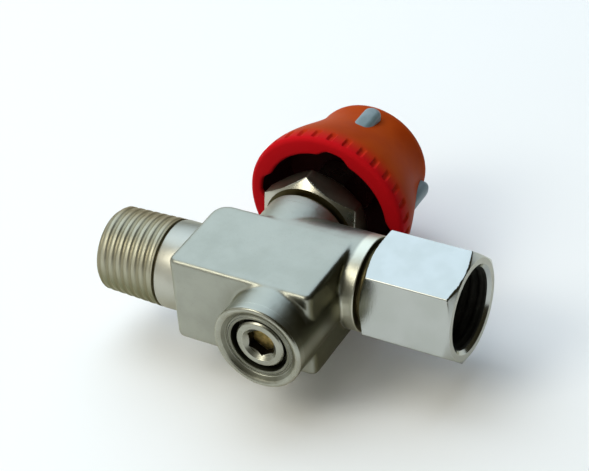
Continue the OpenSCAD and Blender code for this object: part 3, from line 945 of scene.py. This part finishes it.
def neckEnd():
    n = SimpleNamespace(**neck)
    piece = turned("neckEnd", armAxis, rounded([
        (n.bore, n.start), (n.radius - 0.35, n.start), (n.radius, n.start + 0.5), (n.radius, n.end),
        (n.bore, n.end)], [0, 0, 0.3, 0.3, 0], 4))
    spigot = rounded([(n.bore, n.end - n.overlap), (n.spigotRadius, n.end - n.overlap),
                      (n.spigotRadius, n.spigotEnd), (n.bore, n.spigotEnd)], [0, 0, 0.2, 0])
    combine(piece, "UNION", turned("spigot", outletAxis, spigot))
    combine(piece, "DIFFERENCE", rod("nippleBore", outletAxis, n.bore + 0.05, 30, 45, 160))
    return piece


rearEnd = {"radius": 7.05, "bore": 5.5, "start": 12.2, "end": 14.4, "bevel": 0.6, "finishFrom": 13.8}


def rearRim():
    n = SimpleNamespace(**rearEnd)
    return turned("rearRim", stemAxis, rounded([
        (n.bore, n.start), (n.radius, n.start), (n.radius, n.end - n.bevel), (n.radius - n.bevel, n.end),
        (n.bore, n.end)], [0, 0, 0.3, 0.15, 0.1], 4))


def bodyFinish(place, facing):
    # turned places on the forging, found by where they lie; the gaps at the neck end and the rear rim and the inner
    # dish of the boss take darker finishes that are painted shade
    if place.x < inlet["collarEnd"] and away(place, y=0.0) < inlet["collarRadius"] + 0.05:
        return "thread" if place.x < inlet["length"] + inlet["reliefWidth"] - 0.1 else "collar"
    if place.y < bossRim["finishFrom"]:
        return "bossRim" if away(place, x=bleedX) > bossRim["brightFrom"] else "recess"
    if place.x > neck["end"] - 0.05:
        return "groove"
    rear = place.y > rearEnd["finishFrom"] and away(place, x=stemX) < rearEnd["radius"]
    return "groove" if rear else "forged"


def valveBody():
    piece = forging()
    combine(piece, "UNION", inletEnd(), bossEnd(), neckEnd(), rearRim())
    cleaned(piece, 40)
    finishByPlace(piece, ["forged", "thread", "collar", "bossRim", "groove", "recess"], bodyFinish)
    return dress(piece, "valve", "plated_forging", "valve_body")


print("body:", len(valveBody().data.polygons), "faces")

# Swivel nut

nut = {
    "x0": 40.6, "x1": 54.7, "flats": 15.5, "corner": 0.22, "turn": 16.0, "faceRadius": 7.6, "slope": 0.5774,
    "hole": 5.75, "mouth": 6.7, "mouthDepth": 0.9, "relief": 6.15, "web": 2.8, "reliefEnd": 46.9,
    "neckHole": 4.8, "rowStep": 0.1, "innerStep": 0.12, "dropped": 45,
    "pitch": 1.337, "depth": 0.55, "fadeIn": 0.4, "fadeOut": 0.4, "crestShare": 0.15, "rootShare": 0.1,
}


def softer(a, b, blend):
    # the smaller of two lengths, blended where they are close
    return -blend * math.log(math.exp(-a / blend) + math.exp(-b / blend))


def hexSkin(angle, n, along):
    # radius of a hexagon bar at a place along its axis; corners rounded a little, ends turned to a cone
    off = (angle - math.radians(n.turn) + math.pi / 6) % (math.pi / 3) - math.pi / 6
    sides = [n.flats / 2 / math.cos(math.pi / 6 + way * abs(off)) for way in (-1, 1)]
    return softer(softer(*sides, n.corner / 4), along / n.slope + n.faceRadius, 0.03)


def hexAngles(n, perSide=24):
    # angles round a hexagon, closer together near its corners
    eased = [t - 0.13 * math.sin(2 * math.pi * t) for t in (i / perSide for i in range(perSide))]
    return [math.radians(n.turn) + (k + t) * math.pi / 3 for k in range(6) for t in eased]


def hexRows(start, end, chamferLength, fine):
    # places along a hexagon bar, close together where its chamfers are
    count = int(chamferLength / fine) + 1
    first = [start + i * fine for i in range(count)]
    last = [end - i * fine for i in range(count)][::-1]
    steps = int(last[0] - first[-1]) + 1
    step = (last[0] - first[-1]) / steps
    return first + [first[-1] + step * i for i in range(1, steps)] + last


def nutFinish(place, facing):
    # painted shade: the bore of the nut takes a near-black finish
    if facing.x > 0.95 and place.x > nut["x1"] - 0.1:
        return "nutEnd"
    outside = away(place, y=outletY) > nut["hole"] + 0.75 or place.x > nut["x1"] - nut["mouthDepth"] * 0.55
    return "nut" if outside else "nutInside"


def unionNut():
    n = SimpleNamespace(**nut)
    rows = hexRows(n.x0, n.x1, 1.0, n.rowStep)
    # dropped is too few: 73 points stay on the line back to the mouth, which is a fault
    inside = spaced([(n.mouth, n.x1), (n.hole, n.x1 - n.mouthDepth), (n.hole, n.reliefEnd),
                     (n.relief, n.reliefEnd - 0.3), (n.relief, n.x0 + n.web), (n.neckHole, n.x0 + n.web),
                     (n.neckHole, n.x0)], n.innerStep)[:-n.dropped]

    def profile(angle):
        return [(hexSkin(angle, n, min(x - n.x0, n.x1 - x)), x) for x in rows] + inside

    piece = turned("union_nut_skin", outletAxis, profile, angles=hexAngles(n))
    cutThread(piece, n, outletY, -n.depth, (n.reliefEnd - 0.2, n.x1 - 0.3),
              (n.hole - 0.05, n.hole + 0.1), "nut")
    cleaned(piece, 30)
    finishByPlace(piece, ["nut", "nutInside", "nutEnd"], nutFinish)
    return dress(piece, "nut", "bright_plating", "union_nut")


print("nut:", len(unionNut().data.polygons), "faces")

# Bonnet

bonnet = {
    "y0": 10.3, "threadRadius": 5.5, "collarRadius": 6.1, "collarStart": 14.48,
    "hexStart": 14.85, "hexLength": 4.4, "flats": 15.4, "corner": 0.3, "turn": 33.0, "faceRadius": 7.4,
    "slope": 0.8, "neckRadius": 3.8, "end": 24.6, "bore": 3.05, "stemBore": 1.81, "packingBore": 2.9,
    "packingStart": 20.0, "step": 1.0, "rowStep": 0.09,
}


def bonnetFinish(place, facing):
    # painted shade: the hex flats and the collar below the hex take dark finishes
    if abs(facing.y) < 0.2 and place.y > bonnet["hexStart"] + 0.3:
        return "bonnetFlats"
    return "bonnet" if place.y > bonnet["hexStart"] + 0.02 else "groove"


def bonnetSkin():
    n = SimpleNamespace(**bonnet)
    hexEnd = n.hexStart + n.hexLength
    stepAt = n.packingStart - n.step
    rows = hexRows(n.hexStart, hexEnd, 2.0, n.rowStep)
    low = [(n.bore, n.y0), (n.threadRadius, n.y0), (n.threadRadius, n.collarStart - 0.1),
           (n.collarRadius - 0.1, n.collarStart), (n.collarRadius, n.collarStart + 0.1),
           (n.collarRadius, n.hexStart)]
    high = [(n.neckRadius + 0.4, hexEnd), (n.neckRadius, hexEnd + 0.4), (n.neckRadius, n.end),
            (n.packingBore, n.end), (n.packingBore, n.packingStart), (n.stemBore, n.packingStart),
            (n.stemBore, stepAt), (n.bore, stepAt)]

    def profile(angle):
        return low + [(hexSkin(angle, n, min(y - n.hexStart, hexEnd - y)), y) for y in rows] + high

    piece = turned("bonnet_skin", stemAxis, profile, sharpAngle=30, angles=hexAngles(n))
    finishByPlace(piece, ["bonnet", "groove", "bonnetFlats"], bonnetFinish)
    return dress(piece, "valve", "bright_plating", "bonnet")


bonnetSkin()
print("bonnet ready")

# Handwheel

wheel = {
    "y0": 20.0, "length": 17.7, "rim": 13.03, "neck": 9.36, "bellStart": 21.0, "bellEnd": 35.4,
    "wall": 2.0, "rimBore": 10.1, "hollowEnd": 27.6, "rimRound": 0.8, "backRound": 2.6, "mouthRound": 0.5,
    "webHole": 4.0, "coreRadius": 7.2, "coreY": 30.2, "capRadius": 6.5, "capY": 36.6,
    "ribSlot": 0.95, "slotHalfWidth": 12.0, "segments": 512, "rowStep": 0.14,
    "notches": 32.0, "notchDepth": 0.34, "notchFrom": 20.6, "notchTo": 22.9, "notchY": 21.6,
    "notchShare": 0.40, "skinFrom": 11.6,
}
ribs = {"count": 4, "angle": 79.0, "width": 2.8, "top": 10.95, "foot": 6.4, "from": 27.9, "to": 34.4,
        "edge": 0.95}


def bellRadius(y):
    share = smooth01((y - wheel["bellStart"]) / (wheel["bellEnd"] - wheel["bellStart"]))
    return wheel["rim"] + (wheel["neck"] - wheel["rim"]) * share


def ribSlotDepth(angle):
    # the inside is relieved in line with each rib, so that the grey core could go in
    step = 360 / ribs["count"]
    off = (math.degrees(angle) - ribs["angle"] + step / 2) % step - step / 2
    return wheel["ribSlot"] * smooth01(1.4 - abs(off) / wheel["slotHalfWidth"])


def wheelFinish(place, facing):
    # painted shade: the inside of the bell takes a near-black finish
    deep = wheel["y0"] + 0.75 < place.y < wheel["coreY"]
    return "hollow" if deep and away(place, x=stemX) < bellRadius(place.y) - 0.6 else "red"


def gripTurn():
    # the notch in the photo settles how the row of notches is turned
    low, high, bore = wheel["y0"], wheel["bellEnd"], wheel["rimBore"]
    outline = [(bellRadius(y), float(y)) for y in np.arange(low, high, 0.5)] + [(bore, high), (bore, low)]
    carrier = turned("gripCarrier", stemAxis, outline, 256)
    place = placeOn(imagePoints["gripNotch"], carrier) / mm
    bpy.data.objects.remove(carrier)
    return math.degrees(math.atan2(place.z, place.x - stemX / mm))


notchAngle = gripTurn()


def handwheelShell():
    n = SimpleNamespace(**wheel)
    end = n.y0 + n.length
    skin = arc(n.rim - n.rimRound, n.y0 + n.rimRound, n.rimRound, 270, 360, 7)
    skin += [(bellRadius(y), float(y)) for y in np.arange(n.y0 + n.rimRound + 0.12, n.bellEnd, n.rowStep)]
    skin += arc(n.neck - n.backRound, end - n.backRound, n.backRound, 0, 90, 14)
    skin += rounded([(n.capRadius, end), (n.capRadius, n.capY), (n.coreRadius, n.capY),
                     (n.coreRadius, n.coreY), (n.webHole, n.coreY), (n.webHole, n.hollowEnd)],
                    [0.1, 0, 0, 0, 0.1, 0.2], 2)[1:]
    innerRadius = bellRadius(n.hollowEnd) - n.wall

    def profile(angle):
        slot = ribSlotDepth(angle)
        mouth = arc(n.rimBore + slot + n.mouthRound, n.y0 + n.mouthRound, n.mouthRound, 180, 270, 5)
        return mouth + skin + [(innerRadius + slot * 0.6, n.hollowEnd)]

    piece = turned("handwheel_skin", stemAxis, profile, n.segments)
    runTree(piece, trees["grip"], AxisX=stemX, Count=n.notches, Depth=n.notchDepth * mm,
            Start=n.notchFrom * mm, End=n.notchTo * mm, Share=n.notchShare, SkinFrom=n.skinFrom * mm,
            Turn=math.radians(notchAngle), Material=materials["red"])
    cleaned(piece, 40)
    finishByPlace(piece, ["red", "hollow"], wheelFinish)
    return dress(piece, "stem", "red_plastic", "handwheel")


print("handwheel:", len(handwheelShell().data.polygons), "faces, a notch at", round(notchAngle, 2))

core = {"radius": 7.2, "start": 30.2, "end": 36.6, "hubRadius": 4.0, "hubStart": 28.4, "pocketRadius": 4.0,
        "pocketStart": 33.5, "square": 2.4}


def coreSkin():
    # the grey carrier inside the handwheel, with its four rounded ribs
    n = SimpleNamespace(**core)
    piece = turned("handwheel_core_skin", stemAxis, rounded([
        (0, n.hubStart), (n.hubRadius, n.hubStart), (n.hubRadius, n.start), (n.radius, n.start),
        (n.radius, n.end), (n.pocketRadius, n.end), (n.pocketRadius, n.pocketStart), (0, n.pocketStart)],
        [0, 0.2, 0.2, 0.2, 0.2, 0.2, 0.1, 0]), 128)
    half = ribs["width"] / 2
    rib = roundedBlock("rib", (-half, ribs["from"], ribs["foot"]), (half, ribs["to"], ribs["top"]),
                       (half - 0.05,) * 4, ribs["edge"], 7)
    rib.data.transform(Matrix.Rotation(math.pi / 2, 4, "Y"))
    runTree(rib, trees["ring"], AxisX=stemX, Turn=math.radians(ribs["angle"]), Count=ribs["count"],
            Material=materials["grey"])
    side = n.square / 2
    bore = roundedBlock("square", (stemX / mm - side, n.hubStart - 1, -side),
                        (stemX / mm + side, n.pocketStart + 1, side), (0.05,) * 4, 0.04, 1)
    combine(piece, "UNION", rib)
    combine(piece, "DIFFERENCE", bore)
    cleaned(piece, 35)
    setMaterial(piece, "grey")
    return dress(piece, "stem", "grey_plastic", "handwheel_core")


print("core:", len(coreSkin().data.polygons), "faces")

# Bleed screw and its insert

bleed = {
    "headRadius": 3.85, "top": -11.6, "chamfer": 0.3, "headWidth": 2.0, "threadRadius": 3.0, "tip": -6.4,
    "flats": 4.0, "socketTurn": 30.0, "socketDepth": 2.0, "mouth": 2.75, "mouthDepth": 0.35,
    "ballRoom": 1.46, "ballY": -5.62,
}
insert = {
    "radius": 5.3, "top": -11.75, "cup": 4.5, "floor": -9.2, "end": -4.2, "bore": 3.05, "seatBore": 1.0,
    "rimGroove": 4.98, "boreEnd": -6.1, "seatRadius": 1.5, "seatStart": -5.8, "seatEnd": -5.0,
}


def screwFinish(place, facing):
    # painted shade: the hex socket's walls take a near-black finish
    if away(place, x=bleedX) > bleed["mouth"] or place.y < bleed["top"] + bleed["mouthDepth"] * 0.9:
        return "bossRim"
    return "socketFloor" if place.y > bleed["top"] + bleed["socketDepth"] - 0.1 else "socketWall"


def bleedScrew():
    n = SimpleNamespace(**bleed)
    headEnd = n.top + n.headWidth
    piece = turned("bleed_screw_skin", bleedAxis, rounded([
        (0, n.top), (n.headRadius - n.chamfer, n.top), (n.headRadius, n.top + n.chamfer),
        (n.headRadius, headEnd), (n.threadRadius, headEnd), (n.threadRadius, n.tip), (0, n.tip)],
        [0, 0.12, 0.1, 0.1, 0.1, 0.2, 0]), 128)
    coneEnd = n.top + n.mouthDepth + 0.35
    cone = turned("countersink", bleedAxis, [
        (0, n.top - 0.1), (n.mouth + 0.1, n.top - 0.1), (n.mouth - 0.75, coneEnd), (0, coneEnd)], 96)
    corner = n.flats / 2 / math.cos(math.pi / 6)
    socketEnd = n.top + n.socketDepth
    hexagon = turned("socket", bleedAxis, [
        (0, n.top - 0.5), (corner, n.top - 0.5), (corner, socketEnd), (0, socketEnd)],
        angles=[math.radians(n.socketTurn + 60 * k) for k in range(6)])
    ball = turned("ballRoom", bleedAxis, [(n.ballRoom * math.sin(t), n.ballY - n.ballRoom * math.cos(t))
                                          for t in np.linspace(0, math.pi, 25)], 64)
    combine(piece, "DIFFERENCE", cone, hexagon, ball)
    cleaned(piece, 30)
    finishByPlace(piece, ["bossRim", "socketWall", "socketFloor"], screwFinish)
    return dress(piece, "bleed", "bleed_plating", "bleed_screw")


def insertFinish(place, facing):
    # painted shade: the insert's recessed face is a darker grey and its cup near black
    return "recess" if place.y < insert["top"] + 0.3 else "cup"


def bleedInsert():
    n = SimpleNamespace(**insert)
    piece = turned("bleed_insert_skin", bleedAxis, [
        (n.radius, n.end), (n.radius, n.top + 0.08), (n.radius - 0.08, n.top + 0.02),
        (n.rimGroove + 0.05, n.top), (n.rimGroove, n.top + 0.12), (n.rimGroove - 0.07, n.top + 0.02),
        (n.cup + 0.16, n.top - 0.02),
        (n.cup + 0.04, n.top + 0.05), (n.cup, n.top + 0.2), (n.cup, n.floor), (n.bore, n.floor),
        (n.bore, n.boreEnd), (n.seatRadius, n.seatStart), (n.seatRadius, n.seatEnd),
        (n.seatBore, n.end - 0.2), (n.seatBore, n.end)], 128)
    finishByPlace(piece, ["recess", "cup"], insertFinish)
    return dress(piece, "valve", "plated_forging", "bleed_insert")


bleedScrew()
bleedInsert()
print("bleed screw ready")

# CAD pieces that keep their shape

finishes = {
    # the outlet nipple takes the near-black painted shade of the nut's bore
    "bonnet": ("gland_nut",), "nutInside": ("outlet_nipple",), "rubber": ("bleed_seal",),
    "copper": ("bonnet_seal",), "brass": ("gland_ring",), "red": ("handwheel_cap",),
    "white": ("outlet_gasket", "packing_lower", "packing_upper"),
    "steel": ("bleed_ball", "spindle", "valve_cone", "seat_insert", "backing_washer", "handwheel_washer",
              "handwheel_screw"),
}
for finish, nodeNames in finishes.items():
    for nodeName in nodeNames:
        setMaterial(nodes[nodeName], finish)


# Where the finished things show in the picture

def pictured(piece):
    # a piece's vertices in millimetres, and where they lie in the picture
    places = np.empty(len(piece.data.vertices) * 3)
    piece.data.vertices.foreach_get("co", places)
    places = places.reshape(-1, 3)
    local = (places - np.array(camera["position"]) * mm) @ np.array([list(axis) for axis in cameraAxes()]).T
    x = imageSize[0] / 2 - local[:, 0] / local[:, 2] * pictureScale
    y = imageSize[1] / 2 + local[:, 1] / local[:, 2] * pictureScale
    return places / mm, np.stack([x, y], axis=1)


def everything(p):
    return np.ones(len(p[0]), bool)


def aboutStem(p, angle, within):
    # whether each place is that close to an angle round the stem, in degrees
    found = np.degrees(np.arctan2(p[2], p[0] - stemX / mm))
    return np.abs((found - angle + 180) % 360 - 180) < within


def between(low, values, high):
    return (values > low) & (values < high)


# name: piece, which of its places count, and the way to go: in the picture, in the frame, or to the middle
shownThings = {
    "objectLeftX": (None, everything, (-1, 0)),
    "objectRightX": (None, everything, (1, 0)),
    "objectTopY": (None, everything, (0, -1)),
    "objectBottomY": (None, everything, (0, 1)),
    "inletTopCorner": ("valve_body_skin", lambda p: p[0] < 1.4, (-0.45, -0.9)),
    "bodyCornerFrontLeft": ("valve_body_skin", lambda p: (p[0] > 13.7) & (p[1] > -7.6) & (p[2] > 6),
                            (-1, -1, 1)),
    "bodyCornerFrontRight": ("valve_body_skin", lambda p: between(-7.6, p[1], -4) & (p[2] > 6), (1, -1, 1)),
    "bossRim": ("valve_body_skin", lambda p: (p[1] < -12.2) & (away(p, x=bleedX) > 6.2), None),
    "bleedSocket": ("bleed_screw_skin",
                    lambda p: (p[1] < bleed["top"] + 0.6) & between(1.9, away(p, x=bleedX), 2.4), None),
    "nutFrontEdge": ("union_nut_skin", everything, (-0.3, -0.719, 0.695)),
    "nutMouth": ("union_nut_skin", lambda p: (p[0] > nut["x1"] - 0.05)
                 & between(nut["mouth"] - 0.1, away(p, y=outletY), nut["mouth"] + 0.1), None),
    "wheelLeft": ("handwheel_skin", everything, (-1, 0)),
    "wheelRightX": ("handwheel_skin", everything, (1, 0)),
    "gripNotch": ("handwheel_skin", lambda p: between(wheel["notchY"] - 0.7, p[1], wheel["notchY"] + 0.7)
                  & (away(p, x=stemX) > 12) & aboutStem(p, notchAngle, 2.5), None),
    "ribTop": ("handwheel_core_skin",
               lambda p: aboutStem(p, ribs["angle"], 9) & (away(p, x=stemX) > 9.5), None),
    "ribRight": ("handwheel_core_skin",
                 lambda p: aboutStem(p, ribs["angle"] - 90, 9) & (away(p, x=stemX) > 9.5), None),
}


def writePoints():
    pieces = [p for p in bpy.context.scene.objects if p.type == "MESH" and not p.hide_render]
    shown = {piece.name: pictured(piece) for piece in pieces}
    surface = surfaceOf(pieces)

    def seen(place):
        line = Vector(place) * mm - cameraPlace
        hit = surface.ray_cast(cameraPlace, line.normalized())
        return hit[0] is None or hit[3] > line.length - 0.3 * mm

    report = {}
    for name, (pieceName, counts, way) in shownThings.items():
        places, picture = (np.concatenate(parts) for parts in zip(*(
            shown[n] for n in ([pieceName] if pieceName else shown))))
        chosen = counts(places.T)
        places = places[chosen]
        picture = picture[chosen]
        if way is None:
            visible = picture[np.array([seen(place) for place in places])]
            found = (visible.min(axis=0) + visible.max(axis=0)) / 2
        else:
            order = np.argsort(-((picture if len(way) == 2 else places) @ np.array(way)))
            found = picture[next((i for i in order[:4000] if seen(places[i])), order[0])]
        sides = name[-1].lower() if name[-1] in "XY" else "xy"
        report[name] = {side: round(float(found["xy".index(side)] - wanted), 1)
                        for side, wanted in zip(sides, np.atleast_1d(imagePoints[name]))}
    with open("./points.json", "w") as out:
        json.dump(report, out, indent=1)
    return report


try:
    print("points, shown minus wanted:", writePoints())
except Exception as problem:
    print("points could not be written:", problem)

# Studio

studio = {
    "floorColour": (0.93, 0.93, 0.92), "floorSize": 12.0,
    # colour and strength of the room, light on the left and dark on the right as the photo's reflections are
    "left": ((0.95, 0.97, 0.88), 0.50), "right": ((0.80, 0.72, 0.42), 0.05),
    "leftFrom": -0.55, "rightFrom": 0.45,
    "lamps": {
        # name: direction from the object, distance, size, radiance, colour, shows in the metal
        "overhead": ((-0.42, 0.48, 0.77), 0.60, 0.80, 1.48, (0.69, 0.87, 1.08), True),
        "front": ((-0.42, -0.60, 0.68), 0.50, 0.22, 5.0, (1.0, 0.97, 0.86), True),
        "fill": ((-0.30, -0.05, 0.95), 0.60, 0.50, 1.3, (1.0, 1.0, 0.97), False),
        "lowFront": ((0.25, -0.85, 0.45), 0.70, 0.70, 0.6, (1.0, 1.0, 0.98), False),
    },
}


def lamp(name, direction, distance, size, radiance, colour, shows):
    data = bpy.data.lights.new(name, "AREA")
    data.shape = "SQUARE"
    data.size = size
    data.energy = radiance * math.pi * size * size
    data.color = colour
    made = bpy.data.objects.new(name, data)
    way = Vector(direction).normalized()
    made.location = (Vector(cadBox[0]) + Vector(cadBox[1])) / 2 + way * distance
    made.rotation_euler = way.to_track_quat("Z", "Y").to_euler()
    made.visible_glossy = shows
    bpy.context.scene.collection.objects.link(made)


def makeStudio():
    bpy.ops.mesh.primitive_plane_add(size=studio["floorSize"], location=tuple(cadBox[0]))
    floor = bpy.context.object
    floor.name = "floor"
    paper = MaterialBuilder("paleFloor")
    paper.set(Base_Color=studio["floorColour"], Roughness=0.9, Specular_IOR_Level=0.0)
    floor.data.materials.append(paper.material)
    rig.stage(floor)
    world = bpy.data.worlds.new("studio")
    world.use_nodes = True
    bpy.context.scene.world = world
    room = NodeWriter(world.node_tree)
    side = room.places("Generated")["X"]
    tones = [tuple(c * strength for c in colour) for colour, strength in (studio["left"], studio["right"])]
    colour = room.mix(room.smooth(side, studio["leftFrom"], studio["rightFrom"]), *tones)
    room.feed(room.tree.nodes["Background"].inputs["Color"], colour)
    for name, values in studio["lamps"].items():
        lamp(name, *values)


makeStudio()
bpy.context.scene.view_settings.view_transform = "Standard"
print("studio ready")

with open("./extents.json", "w") as out:
    json.dump({"cad": [list(c) for c in cadBox], "visual": [list(c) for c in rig.bounds()]}, out)
